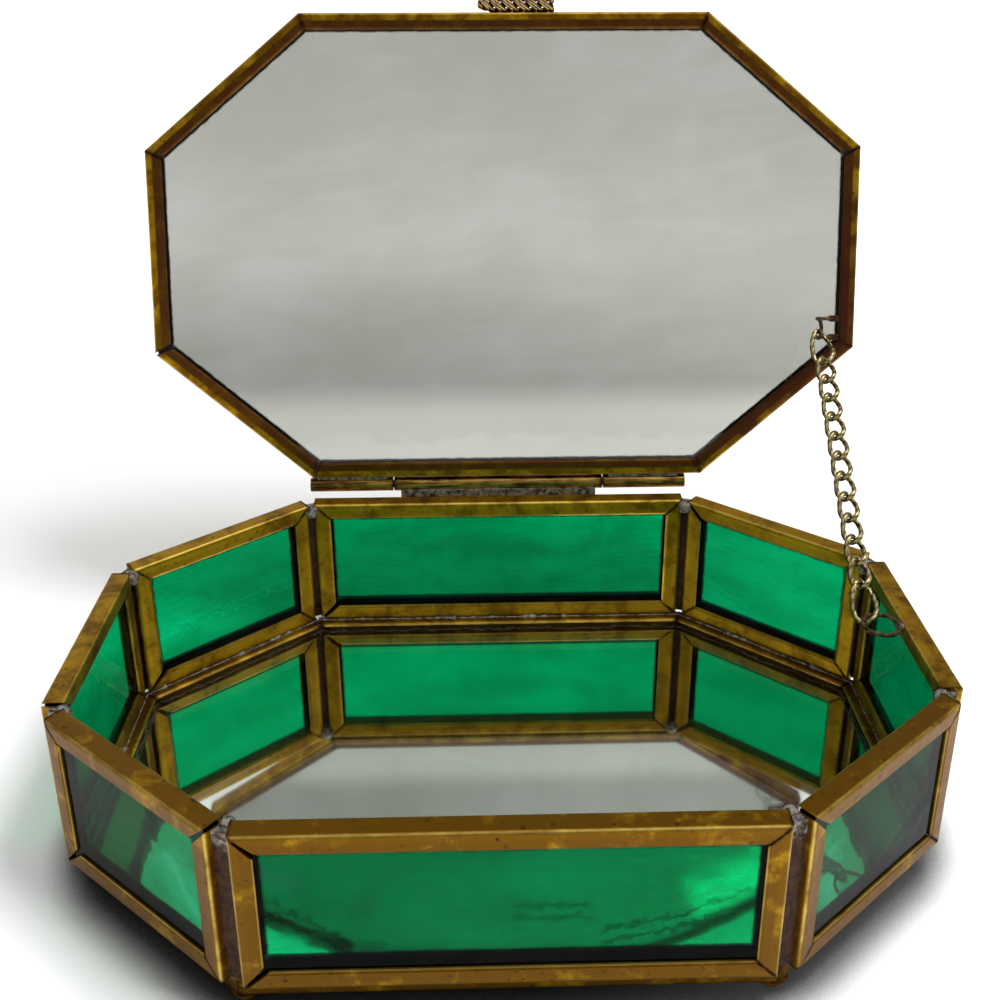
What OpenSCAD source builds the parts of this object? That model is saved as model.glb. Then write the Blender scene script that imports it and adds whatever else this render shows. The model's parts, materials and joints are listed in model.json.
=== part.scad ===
// Eight-sided glass casket box: green glass panes in folded brass channel,
// a mirror floor, and a clear glass lid held open by a curb chain.
// Millimetres, Z up, X along the hinge, the front faces -Y. The origin is the
// middle of the mirror's underside. The lid is drawn open, at its chain's stop.

/* [Box] */
// Width over the two end walls
box_w = 150; // [130:1:180]
// Depth over the front and back walls
box_d = 98; // [90:1:120]
// Length of the front and back panes, at their inner faces
front_len = 80; // [70:1:95]
// Length of the two end panes, at their inner faces
end_len = 40; // [34:1:48]
// Height of the walls
wall_h = 28.7; // [26:0.1:45]
// Gap left at each end of a wall, for the solder
corner_gap = 0.5; // [0.3:0.1:0.9]

/* [Brass channel] */
// Thickness of the brass sheet
sheet = 0.55; // [0.4:0.05:0.7]
// How far the channel's lips reach over the glass
lip = 3.4; // [2.6:0.1:4.5]
// Outside radius of the channel's two folds
fold_r = 0.7; // [0.5:0.05:0.9]
// Width of the bevel along each lip's free edge
lip_bevel = 0.5; // [0.2:0.05:0.8]
// Width of a closed mitre line in the lips
mitre_line = 0.16; // [0.1:0.02:0.3]
// Width of an open mitre at the lips' inner edge
mitre_open = 1.3; // [0.6:0.1:2]
// How much of the lips' corner is left whole beyond the web
mitre_root = 0.3; // [0.2:0.05:0.6]

/* [Glass] */
// Thickness of the glass panes and of the mirror
glass_t = 2.6; // [2:0.1:3]
// Clearance between glass and channel on every side
glass_fit = 0.05; // [0.02:0.01:0.1]
// How far the walls stand in over the floor's frame
floor_seat = 1.5; // [0.8:0.1:2]

/* [Lid] */
// How much narrower than the box the lid is
lid_under_w = 1.6; // [0:0.1:3]
// How much shallower than the box the lid is
lid_under_d = 1; // [0:0.1:3]
// Length of the lid's front and back sides
lid_front_len = 83.6; // [72:0.1:98]
// Length of the lid's two end sides
lid_end_len = 42.4; // [36:0.1:52]
// How far the lid is soldered to the right of the hinge's middle
lid_shift = 2; // [-2:0.1:2]
// Angle of the open lid from closed, where the chain stops it
lid_open = 102.4; // [95:0.1:110]
// Clearance under the closed lid
lid_rest_gap = 0.12; // [0.1:0.02:0.3]

/* [Hinge] */
// Outside diameter of the hinge tube
tube_d = 3; // [2.6:0.1:4]
// Diameter of the hinge pin
pin_d = 1.6; // [1.2:0.1:1.8]
// Radial clearance between pin and tube
pin_fit = 0.05; // [0.02:0.01:0.1]
// Length of the whole hinge
hinge_len = 81; // [60:1:95]
// Length of the middle knuckle, which the box carries
knuckle_mid = 45; // [30:1:55]
// Gap between two knuckles
knuckle_gap = 0.25; // [0.15:0.05:0.5]
// Solder gap between the tube and the wall or lid
tube_seat = 0.35; // [0.2:0.05:0.6]

/* [Chain] */
// Wire diameter of the chain
link_wire = 0.9; // [0.8:0.05:1]
// Outside width of a link
link_w = 4.3; // [3.9:0.1:5]
// Outside width of the larger link at each end
end_link_w = 5.2; // [4.8:0.1:6]
// Pitch of an end link, as a share of a common link's
end_pitch = 1.5; // [1.2:0.05:1.6]
// Twist of each half of a link
link_twist = 45; // [40:1:50]
// Play between two links that are pulled tight
link_play = 0.14; // [0.1:0.01:0.2]

/* [Eyelets] */
// Wire diameter of the two eyelets
eyelet_wire = 0.8; // [0.6:0.05:1]
// Inside diameter of the box's eyelet ring
ring_bore = 5.6; // [5:0.1:6.5]
// How far the ring stands inside the middle of the right end wall, along it
ring_shift = -0.6; // [-4:0.1:4]
// Height of the wall's top edge over the ring's wire
ring_drop = 0.6; // [0.5:0.1:2]
// Inside width of the lid's eyelet, along the lid
staple_bore = 3.2; // [3:0.1:4]
// Length of the straight legs of the lid's eyelet
staple_leg = 1.2; // [1:0.1:2]
// How far the lid's eyelet stands in from the lip
staple_in = 4.6; // [4:0.1:5]
// How far the lid's eyelet stands from the corner of the lid's end side
staple_from_corner = 4.25; // [4:0.05:12]
// Play between an end link and its eyelet when the chain is tight
hook_play = 0.2; // [0.1:0.02:0.3]
// Gap between an eyelet and the brass beside it, filled with solder
eyelet_seat = 0.1; // [0.05:0.05:0.3]

/* [Pull] */
// Length of the twisted pull on the lid's front edge
pull_len = 15.5; // [10:0.5:24]
// Outside diameter of the pull
pull_d = 3.2; // [2.6:0.1:4]
// Length of one full turn of the pull's twist
pull_lead = 7.4; // [5:0.1:12]
// Offset of the pull from the middle of the edge
pull_shift = 2.4; // [-6:0.1:6]

/* [Feet] */
// Radius of the domed feet
foot_r = 2.8; // [2.2:0.1:3.4]
// Height that the feet raise the floor's frame
foot_h = 2; // [1.6:0.1:2.4]
// Height of the worn flat under each foot
foot_flat = 0.2; // [0.1:0.05:0.4]
// How far each foot's middle stands in from the edge of the floor's frame
foot_in = 2.4; // [2:0.1:4]

/* [Solder] */
// How far the solder in a corner lies below the outside of the walls
seam_below = 1.6; // [0.8:0.1:2.4]
// Radius of the blob at the top of each corner
blob_r = 1.5; // [1:0.1:2]
// How far the blob reaches out into the corner's groove
blob_out = 0.9; // [0.4:0.1:1.4]
// Radius of the solder that holds the box's ring
bead_r = 1.1; // [0.8:0.1:1.3]
// Half the width of the solder that runs from each foot of the lid's eyelet to the lip
foot_run_r = 0.65; // [0.55:0.05:0.65]
// Thickness of that solder on the glass
foot_run_t = 0.5; // [0.3:0.05:0.55]
// Height of the solder on the wall below the hinge tube
fillet_h = 1.1; // [0.8:0.1:2]
// Thickness of the solder between the hinge tube and the lid
fillet_t = 1.8; // [1.2:0.1:2.4]

/* [Hidden] */
$fn = 48;
// Slot for the glass, and the thickness of channel over it
slot = glass_t + 2 * glass_fit;
panel_t = slot + 2 * sheet;
// Levels
floor_top = slot - glass_fit + sheet;
wall_top = floor_top + wall_h;
hinge_y = box_d / 2 + tube_d / 2 + tube_seat;
hinge_z = wall_top + lid_rest_gap + panel_t / 2;
// Inner octagon of the walls, counter-clockwise from the front left corner
inner_x = box_w / 2 - panel_t;
inner_y = box_d / 2 - panel_t;
INNER = octagon(inner_x, inner_y, front_len, end_len);
// The lid is a little smaller than the box
lid_w = box_w - lid_under_w;
lid_d = box_d - lid_under_d;
LID = octagon(lid_w / 2, lid_d / 2, lid_front_len, lid_end_len);
// Corners of each wall's frame, counter-clockwise from the lower start, that
// stand open: the first where the strip's two ends meet, then in the lips only
OPEN_MITRES = [[0, 3], [3], [0], [2], [1], [1], [2], [2, 0]];
// Overlap of neighbouring sides of a strip, so that its bends are solid
BEND = 0.01;
LINKS = 13;

// Octagon of half width x and half depth y, its front side f long, its end side e
function octagon(x, y, f, e) = [
    [-f / 2, -y], [f / 2, -y], [x, -e / 2], [x, e / 2],
    [f / 2, y], [-f / 2, y], [-x, e / 2], [-x, -e / 2]
];
function unit(v) = v / norm(v);
function turned(v) = [-v.y, v.x];
function next_of(pts, i) = pts[(i + 1) % len(pts)];
function prev_of(pts, i) = pts[(i + len(pts) - 1) % len(pts)];
// Direction of the side that starts at corner i
function side_dir(pts, i) = unit(next_of(pts, i) - pts[i]);
function side_len(pts, i) = norm(next_of(pts, i) - pts[i]);
// Half of the inside angle at corner i
function half_angle(pts, i) =
    (180 - acos(side_dir(pts, i) * unit(pts[i] - prev_of(pts, i)))) / 2;
// The outline moved inwards by d
function inset(pts, d) = [
    for (i = [0 : len(pts) - 1])
        let (a = turned(unit(pts[i] - prev_of(pts, i))), b = turned(side_dir(pts, i)))
            pts[i] + (a + b) * d / (1 + a * b)
];
// Places children with X along side i of an outline and Y to its inside
module on_side(pts, i) {
    d = side_dir(pts, i);
    translate([pts[i].x, pts[i].y, 0])
        rotate([0, 0, atan2(d.y, d.x)])
            children();
}

// Section of the channel: X runs from its web inwards, Y across the thickness
module channel_section() {
    half = panel_t / 2;
    difference() {
        union() {
            translate([0, fold_r - half])
                square([fold_r, panel_t - 2 * fold_r]);
            for (s = [-1, 1])
                translate([fold_r, s * (half - fold_r)])
                    circle(r = fold_r);
            polygon([
                [fold_r, -half],
                [lip - lip_bevel, -half],
                [lip, -half + sheet / 2],
                [lip, half - sheet / 2],
                [lip - lip_bevel, half],
                [fold_r, half]
            ]);
        }
        translate([sheet, -slot / 2])
            square([lip, slot]);
    }
}

// One strip of channel folded round an outline, centred on Z = 0, mitred at
// every corner. The corners in open_at stand open, the first right through.
module channel_ring(pts, open_at = []) {
    difference() {
        union()
            for (i = [0 : len(pts) - 1])
                on_side(pts, i)
                    intersection() {
                        translate([-BEND, 0, 0])
                            rotate([90, 0, 90])
                                linear_extrude(side_len(pts, i) + 2 * BEND)
                                    channel_section();
                        translate([0, 0, -panel_t])
                            linear_extrude(2 * panel_t)
                                mitre_outline(pts, i, lip + 1);
                    }
        for (i = [0 : len(pts) - 1])
            on_side(pts, i)
                rotate([0, 0, half_angle(pts, i)])
                    mitre_cut(
                        half_angle(pts, i),
                        len(search(i, open_at)) > 0,
                        open_at[0] == i
                    );
    }
}
// Trapezium of one side, d deep, cut back along the corners' bisectors
module mitre_outline(pts, i, d) {
    far = side_len(pts, i);
    polygon([
        [-BEND, 0],
        [far + BEND, 0],
        [far + BEND - d / tan(half_angle(pts, (i + 1) % len(pts))), d],
        [d / tan(half_angle(pts, i)) - BEND, d]
    ]);
}
// Cut along a corner's bisector: a fine line in the lips, or an open wedge
module mitre_cut(half, is_open, is_end) {
    reach = (lip + 1) / sin(half);
    start = is_end ? -1 : (sheet + mitre_root) / sin(half);
    near_w = is_open ? mitre_line * 2 : mitre_line;
    far_w = is_open ? mitre_open : mitre_line;
    translate([0, 0, -panel_t])
        linear_extrude(2 * panel_t)
            polygon([
                [start, -near_w / 2],
                [reach, -far_w / 2],
                [reach, far_w / 2],
                [start, near_w / 2]
            ]);
}

// Stands a flat piece up on wall side i, its thickness outside the inner face
module on_wall(i) {
    on_side(INNER, i)
        translate([corner_gap, -panel_t / 2, floor_top])
            rotate([90, 0, 0])
                children();
}
function wall_len(i) = side_len(INNER, i) - 2 * corner_gap;
module wall_frame(i) {
    l = wall_len(i);
    color("darkgoldenrod")
        on_wall(i)
            channel_ring([[0, 0], [l, 0], [l, wall_h], [0, wall_h]], OPEN_MITRES[i]);
}
module wall_pane(i) {
    rim = sheet + glass_fit;
    color("seagreen", 0.6)
        on_wall(i)
            translate([rim, rim, -glass_t / 2])
                cube([wall_len(i) - 2 * rim, wall_h - 2 * rim, glass_t]);
}

// Floor: the mirror in its own channel, with the walls standing on its edge
FLOOR = inset(INNER, -floor_seat);
module base_frame() {
    color("darkgoldenrod")
        translate([0, 0, glass_t / 2])
            channel_ring(FLOOR, [5]);
}
module base_mirror() {
    color("silver")
        linear_extrude(glass_t)
            polygon(inset(FLOOR, sheet + glass_fit));
}

// Solder: a seam down each corner, between the wall ends, and a blob at its top
SEAM_IN = fold_r;
SEAM_OUT = panel_t - seam_below;
SEAM_HALF = panel_t * 0.4;
module corner_solder() {
    color("dimgray")
        for (i = [0 : 7])
            difference() {
                corner_fill(i);
                for (k = [i, (i + 7) % 8])
                    on_side(INNER, k)
                        translate([corner_gap, -panel_t, floor_top])
                            cube([wall_len(k), panel_t, wall_h]);
            }
}
// Seam and blob of a corner, X outwards, before the walls are taken out of them
module corner_fill(i) {
    out = -turned(side_dir(INNER, i)) - turned(unit(INNER[i] - prev_of(INNER, i)));
    translate([INNER[i].x, INNER[i].y, 0])
        rotate([0, 0, atan2(out.y, out.x)]) {
            translate([SEAM_IN, -SEAM_HALF, floor_top + fold_r])
                cube([SEAM_OUT - SEAM_IN, 2 * SEAM_HALF, wall_h - 2 * fold_r]);
            difference() {
                translate([0, 0, wall_top - blob_r])
                    sphere(r = blob_r);
                translate([blob_out, -blob_r, floor_top])
                    cube([2 * blob_r, 2 * blob_r, wall_h]);
            }
        }
}

// Feet: brass domes under the corners of the floor's frame
FEET = inset(FLOOR, foot_in);
foot_top = -sheet - glass_fit;
module foot(i) {
    color("darkgoldenrod")
        intersection() {
            translate([FEET[i].x, FEET[i].y, foot_top - foot_h + foot_r])
                sphere(r = foot_r);
            translate([FEET[i].x, FEET[i].y, foot_top - foot_h + foot_flat])
                cylinder(r = 2 * foot_r, h = foot_h - foot_flat);
        }
}

// Hinge: three lengths of tube on one pin
module knuckle(x0, x1) {
    translate([x0, hinge_y, hinge_z])
        rotate([0, 90, 0])
            difference() {
                cylinder(d = tube_d, h = x1 - x0);
                translate([0, 0, -1])
                    cylinder(d = pin_d + 2 * pin_fit, h = x1 - x0 + 2);
            }
}
module hinge_knuckle_middle() {
    color("goldenrod")
        knuckle(-knuckle_mid / 2, knuckle_mid / 2);
}
module hinge_knuckle_left() {
    color("goldenrod")
        knuckle(-hinge_len / 2, -knuckle_mid / 2 - knuckle_gap);
}
module hinge_knuckle_right() {
    color("goldenrod")
        knuckle(knuckle_mid / 2 + knuckle_gap, hinge_len / 2);
}
module hinge_pin() {
    color("goldenrod")
        translate([-hinge_len / 2, hinge_y, hinge_z])
            rotate([0, 90, 0])
                cylinder(d = pin_d, h = hinge_len);
}
// Solder fillet under the middle knuckle, along the back wall's top edge
module hinge_solder_box() {
    low = wall_top - fold_r - fillet_h;
    throat = hinge_y - box_d / 2;
    color("dimgray")
        translate([-knuckle_mid / 2 + tube_d / 2, 0, 0])
            rotate([90, 0, 90])
                linear_extrude(knuckle_mid - tube_d)
                    difference() {
                        translate([box_d / 2, low])
                            square([throat, hinge_z - low]);
                        translate([hinge_y, hinge_z])
                            circle(d = tube_d);
                        translate([box_d / 2, hinge_z - tube_d / 4])
                            square(tube_d);
                        translate([hinge_y, low])
                            circle(r = throat - tube_seat);
                    }
}
// Turns a piece drawn with the lid closed, about the hinge, to the open lid
module on_lid() {
    translate([0, hinge_y, hinge_z])
        rotate([-lid_open, 0, 0])
            children();
}
// The same, with the lid's own middle as origin
lid_mid_y = -(tube_d / 2 + tube_seat + lid_d / 2);
module on_lid_mid() {
    on_lid()
        translate([lid_shift, lid_mid_y, 0])
            children();
}
// Solder between each outer knuckle and the lid's back edge
module hinge_solder_lid() {
    seam_len = (hinge_len - knuckle_mid) / 2 - tube_d;
    seam_mid = (hinge_len + knuckle_mid) / 4;
    color("dimgray")
        on_lid()
            for (s = [-1, 1])
                translate([s * seam_mid - seam_len / 2, 0, 0])
                    rotate([90, 0, 90])
                        linear_extrude(seam_len)
                            difference() {
                                translate([-tube_d / 2 - tube_seat, -fillet_t / 2])
                                    square([tube_d / 2 + tube_seat - pin_d / 2, fillet_t]);
                                circle(d = tube_d);
                            }
}

// Lid: clear glass in channel
module lid_frame() {
    color("darkgoldenrod")
        on_lid_mid()
            channel_ring(LID, [6, 2]);
}
module lid_glass() {
    color("lightgray", 0.4)
        on_lid_mid()
            translate([0, 0, -glass_t / 2])
                linear_extrude(glass_t)
                    polygon(inset(LID, sheet + glass_fit));
}
// Pull: three pairs of wires twisted together, lying along the front edge
PULL_STRANDS = 3;
PAIR_ANGLE = 23;
module lid_pull() {
    wire_r = pull_d / 8;
    core_r = pull_d / 2 - wire_r;
    color("peru")
        on_lid_mid()
            translate([pull_shift - pull_len / 2, -(lid_d + pull_d) / 2, 0])
                rotate([0, 90, 0])
                    linear_extrude(pull_len, twist = 360 * pull_len / pull_lead, slices = 32) {
                        circle(r = core_r, $fn = 18);
                        for (k = [0 : PULL_STRANDS - 1])
                            for (s = [-1, 1])
                                rotate(360 / PULL_STRANDS * k + s * PAIR_ANGLE)
                                    translate([core_r, 0])
                                        circle(r = wire_r, $fn = 8);
                    }
}

// Eyelets: a flat ring held by a bead of solder on the right end wall, and a loop
// whose two feet lie on the lid's glass, held by solder that runs to the lip
RING_R = (ring_bore + eyelet_wire) / 2;
RING = [inner_x - eyelet_seat - eyelet_wire / 2 - RING_R, ring_shift, wall_top - ring_drop];
module ring_wire() {
    translate(RING)
        rotate_extrude()
            translate([RING_R, 0])
                circle(d = eyelet_wire);
}
module box_eyelet() {
    color("peru")
        ring_wire();
}
module eyelet_solder_box() {
    color("dimgray")
        difference() {
            translate([inner_x, RING.y, RING.z - bead_r / 2])
                sphere(r = bead_r);
            translate([inner_x, RING.y - 2 * bead_r, RING.z - 2 * bead_r])
                cube(4 * bead_r);
            ring_wire();
        }
}
STAPLE_R = (staple_bore + eyelet_wire) / 2;
LIP_EDGE = lid_shift + lid_w / 2 - lip;
STAPLE = [
    LIP_EDGE - staple_in,
    lid_mid_y + lid_end_len / 2 - staple_from_corner,
    -(glass_t + eyelet_wire) / 2
];
// The feet stop where the end wall begins, which the closed lid rests on
FOOT_END = inner_x - eyelet_seat;
module staple_wire() {
    translate(STAPLE) {
        for (s = [-1, 1])
            translate([0, s * STAPLE_R, 0]) {
                rotate([0, 90, 0])
                    cylinder(d = eyelet_wire, h = FOOT_END - STAPLE.x);
                sphere(d = eyelet_wire);
                translate([0, 0, -staple_leg])
                    cylinder(d = eyelet_wire, h = staple_leg);
            }
        translate([0, 0, -staple_leg])
            rotate([-90, 0, 90])
                rotate_extrude(angle = 180)
                    translate([STAPLE_R, 0])
                        circle(d = eyelet_wire);
    }
}
module lid_eyelet() {
    color("peru")
        on_lid()
            staple_wire();
}
module eyelet_solder_lid() {
    color("dimgray")
        on_lid()
            difference() {
                for (s = [-1, 1])
                    translate([FOOT_END, STAPLE.y + s * STAPLE_R, -glass_t / 2 - foot_run_t])
                        linear_extrude(foot_run_t) {
                            circle(r = foot_run_r);
                            translate([0, -foot_run_r])
                                square([LIP_EDGE - FOOT_END, 2 * foot_run_r]);
                        }
                staple_wire();
            }
}

// Chain: curb links from the box's ring to the lid's eyelet, pulled tight
function lid_point(p) = [
    p.x,
    hinge_y + p.y * cos(lid_open) + p.z * sin(lid_open),
    hinge_z - p.y * sin(lid_open) + p.z * cos(lid_open)
];
// Where the end links hook on: round the ring, and round the loop's arc
RING_HOOK = 128;
STAPLE_HOOK = 45;
ring_wire_at = RING + RING_R * [cos(RING_HOOK), sin(RING_HOOK), 0];
staple_wire_at = lid_point(STAPLE
    + [0, STAPLE_R * cos(STAPLE_HOOK), -staple_leg - STAPLE_R * sin(STAPLE_HOOK)]);
along = unit(staple_wire_at - ring_wire_at);
// From the middle of an eyelet's wire to the end of the chain's first pitch
hook_seat = (eyelet_wire + hook_play) / 2;
chain_start = ring_wire_at - along * hook_seat;
chain_end = staple_wire_at + along * hook_seat;
pitch = norm(chain_end - chain_start) / (LINKS - 2 + 2 * end_pitch);
across = unit([1, 0, 0] - along * along.x);
up = cross(along, across);
function link_pitch(k) = (k == 0 || k == LINKS - 1) ? pitch * end_pitch : pitch;
function link_mid(k) = k == 0 ? pitch * end_pitch / 2
    : pitch * (end_pitch + k - 0.5) + (k == LINKS - 1 ? pitch * (end_pitch - 1) / 2 : 0);
// Cross-sections along a link's wire and sides of each, and how full its ends are
RINGS = 24;
SIDES = 8;
FULLNESS = 0.3;
// Centre line of a link at angle t, with its long axis first
function link_line(k, t) =
    let (
        a = (link_pitch(k) + link_wire + link_play) / 2,
        b = ((k == 0 || k == LINKS - 1 ? end_link_w : link_w) - link_wire) / 2,
        side = b * sin(t) * (1 + FULLNESS * cos(t) * cos(t)),
        turn = link_twist * cos(t)
    ) [a * cos(t), side * cos(turn), side * sin(turn)];
function link_frame(k, t) =
    let (
        tangent = unit(link_line(k, t + 1) - link_line(k, t - 1)),
        turn = link_twist * cos(t),
        flat = [0, -sin(turn), cos(turn)],
        b1 = unit(flat - tangent * (flat * tangent))
    ) [b1, cross(tangent, b1)];
function in_chain(p) = chain_start + along * p.x + across * p.y + up * p.z;
function link_points(k) = [
    for (i = [0 : RINGS - 1])
        let (t = 360 * i / RINGS, c = link_line(k, t), f = link_frame(k, t))
            for (j = [0 : SIDES - 1])
                let (q = 360 * j / SIDES)
                    in_chain([link_mid(k), 0, 0] + c
                        + (f[0] * cos(q) + f[1] * sin(q)) * link_wire / 2)
];
function tube_faces(rings, sides) = [
    for (i = [0 : rings - 1])
        for (j = [0 : sides - 1])
            let (
                a = i * sides + j,
                b = i * sides + (j + 1) % sides,
                c = ((i + 1) % rings) * sides + (j + 1) % sides,
                d = ((i + 1) % rings) * sides + j
            )
                for (f = [[a, b, c], [a, c, d]]) f
];
module chain_link(k) {
    color("palegoldenrod")
        polyhedron(points = link_points(k), faces = tube_faces(RINGS, SIDES), convexity = 6);
}

wall_frame(0);  // front_frame
wall_frame(1);  // front_right_frame
wall_frame(2);  // right_end_frame
wall_frame(3);  // back_right_frame
wall_frame(4);  // back_frame
wall_frame(5);  // back_left_frame
wall_frame(6);  // left_end_frame
wall_frame(7);  // front_left_frame
wall_pane(0);  // front_pane
wall_pane(1);  // front_right_pane
wall_pane(2);  // right_end_pane
wall_pane(3);  // back_right_pane
wall_pane(4);  // back_pane
wall_pane(5);  // back_left_pane
wall_pane(6);  // left_end_pane
wall_pane(7);  // front_left_pane
base_frame();
base_mirror();
corner_solder();
foot(0);  // foot_front_left
foot(1);  // foot_front_right
foot(4);  // foot_back_right
foot(5);  // foot_back_left
hinge_knuckle_middle();
hinge_pin();
hinge_solder_box();
box_eyelet();
eyelet_solder_box();
lid_frame();
lid_glass();
hinge_knuckle_left();
hinge_knuckle_right();
hinge_solder_lid();
lid_pull();
lid_eyelet();
eyelet_solder_lid();
chain_link(0);  // chain_link_01
chain_link(1);  // chain_link_02
chain_link(2);  // chain_link_03
chain_link(3);  // chain_link_04
chain_link(4);  // chain_link_05
chain_link(5);  // chain_link_06
chain_link(6);  // chain_link_07
chain_link(7);  // chain_link_08
chain_link(8);  // chain_link_09
chain_link(9);  // chain_link_10
chain_link(10);  // chain_link_11
chain_link(11);  // chain_link_12
chain_link(12);  // chain_link_13
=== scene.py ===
import json
import math

import bpy
import numpy as np
from mathutils import Matrix, Vector


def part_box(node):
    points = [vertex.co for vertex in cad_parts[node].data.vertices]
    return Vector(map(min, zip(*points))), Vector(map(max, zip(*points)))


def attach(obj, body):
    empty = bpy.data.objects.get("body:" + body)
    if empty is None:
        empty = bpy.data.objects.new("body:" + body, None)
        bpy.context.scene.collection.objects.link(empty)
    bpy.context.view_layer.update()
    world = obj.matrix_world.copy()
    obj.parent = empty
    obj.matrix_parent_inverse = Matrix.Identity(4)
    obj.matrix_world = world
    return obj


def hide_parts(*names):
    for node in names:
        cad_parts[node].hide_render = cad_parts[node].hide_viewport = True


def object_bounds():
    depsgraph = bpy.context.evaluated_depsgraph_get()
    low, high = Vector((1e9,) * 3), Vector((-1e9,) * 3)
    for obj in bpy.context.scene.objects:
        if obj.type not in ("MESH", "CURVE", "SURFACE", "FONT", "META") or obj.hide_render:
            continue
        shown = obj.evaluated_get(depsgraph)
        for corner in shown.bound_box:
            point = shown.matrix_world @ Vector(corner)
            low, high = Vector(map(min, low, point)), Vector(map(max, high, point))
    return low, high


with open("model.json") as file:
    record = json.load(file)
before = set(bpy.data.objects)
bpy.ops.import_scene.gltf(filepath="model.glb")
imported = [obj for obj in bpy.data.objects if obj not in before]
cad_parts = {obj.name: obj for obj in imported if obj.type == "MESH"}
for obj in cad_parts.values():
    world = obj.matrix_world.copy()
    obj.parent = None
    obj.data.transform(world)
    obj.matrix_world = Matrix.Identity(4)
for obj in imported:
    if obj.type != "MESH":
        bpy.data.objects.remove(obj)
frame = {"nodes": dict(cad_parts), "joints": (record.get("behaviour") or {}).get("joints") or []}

# Table, light and camera
# The box stands on a white table top in a bright tent. The photographer stood in
# front, above the box, with a lens of normal length that pointed down at it.
MM = 0.001
nodes = frame["nodes"]
cad_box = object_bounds()
TABLE_TOP = cad_box[0][2]
CAMERA_AT = Vector((-3.72, -174.76, 152.28)) * MM
LOOK_DOWN = math.radians(21.25)
LOOK_RIGHT = math.radians(1.488)
TILT = math.radians(-0.065)
scene = bpy.context.scene
scene.view_settings.view_transform = "Standard"

ahead = Vector((math.sin(LOOK_RIGHT), math.cos(LOOK_RIGHT), 0))
side = Vector((math.cos(LOOK_RIGHT), -math.sin(LOOK_RIGHT), 0))
sight = ahead * math.cos(LOOK_DOWN) - Vector((0, 0, math.sin(LOOK_DOWN)))
top = ahead * math.sin(LOOK_DOWN) + Vector((0, 0, math.cos(LOOK_DOWN)))
right_hand = side * math.cos(TILT) + top * math.sin(TILT)
overhead = top * math.cos(TILT) - side * math.sin(TILT)
camera = bpy.data.objects.new("camera", bpy.data.cameras.new("camera"))
scene.collection.objects.link(camera)
turn = Matrix((right_hand, overhead, -sight)).transposed().to_4x4()
camera.matrix_world = Matrix.Translation(CAMERA_AT) @ turn
camera.data.sensor_width = 36
camera.data.lens = 41.88
camera.data.shift_x = -0.0079
camera.data.shift_y = -0.1489
camera.data.clip_start = 0.01
scene.camera = camera


class Term:
    """A value, colour or vector in a finish. Arithmetic on it adds the nodes."""

    def __init__(self, finish, socket):
        self.finish = finish
        self.socket = socket

    def is_number(self):
        return self.socket.type == "VALUE"

    def _join(self, operation, first, second):
        terms = [t for t in (first, second) if isinstance(t, Term)]
        if all(t.is_number() for t in terms):
            return self.finish.node("ShaderNodeMath", {"operation": operation}, [first, second])
        if operation == "MULTIPLY" and isinstance(second, (int, float)):
            sockets = {0: first, "Scale": second}
            return self.finish.node("ShaderNodeVectorMath", {"operation": "SCALE"}, sockets)
        return self.finish.node("ShaderNodeVectorMath", {"operation": operation}, [first, second])

    def __add__(self, other):
        return self._join("ADD", self, other)

    __radd__ = __add__

    def __sub__(self, other):
        return self._join("SUBTRACT", self, other)

    def __rsub__(self, other):
        return self._join("SUBTRACT", other, self)

    def __mul__(self, other):
        return self._join("MULTIPLY", self, other)

    __rmul__ = __mul__

    def __abs__(self):
        kind = "ShaderNodeMath" if self.is_number() else "ShaderNodeVectorMath"
        return self.finish.node(kind, {"operation": "ABSOLUTE"}, [self])

    def least(self, other):
        return self._join("MINIMUM", self, other)

    def most(self, other):
        return self._join("MAXIMUM", self, other)

    def dot(self, direction):
        settings = {"operation": "DOT_PRODUCT"}
        return self.finish.node("ShaderNodeVectorMath", settings, [self, direction], "Value")

    def distance(self, point):
        settings = {"operation": "DISTANCE"}
        return self.finish.node("ShaderNodeVectorMath", settings, [self, point], "Value")

    def part(self, axis):
        return self.finish.node("ShaderNodeSeparateXYZ", {}, [self], axis)

    def between(self, low, high):
        """0 below low, 1 above high and a smooth step from one to the other."""
        settings = {"interpolation_type": "SMOOTHSTEP"}
        return self.finish.node("ShaderNodeMapRange", settings, {0: self, 1: low, 2: high})

    def band(self, low, high, soft):
        """1 from low to high, falling off to 0 within soft on both sides."""
        return self.between(low - soft, low) * (1 - self.between(high, high + soft))


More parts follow.
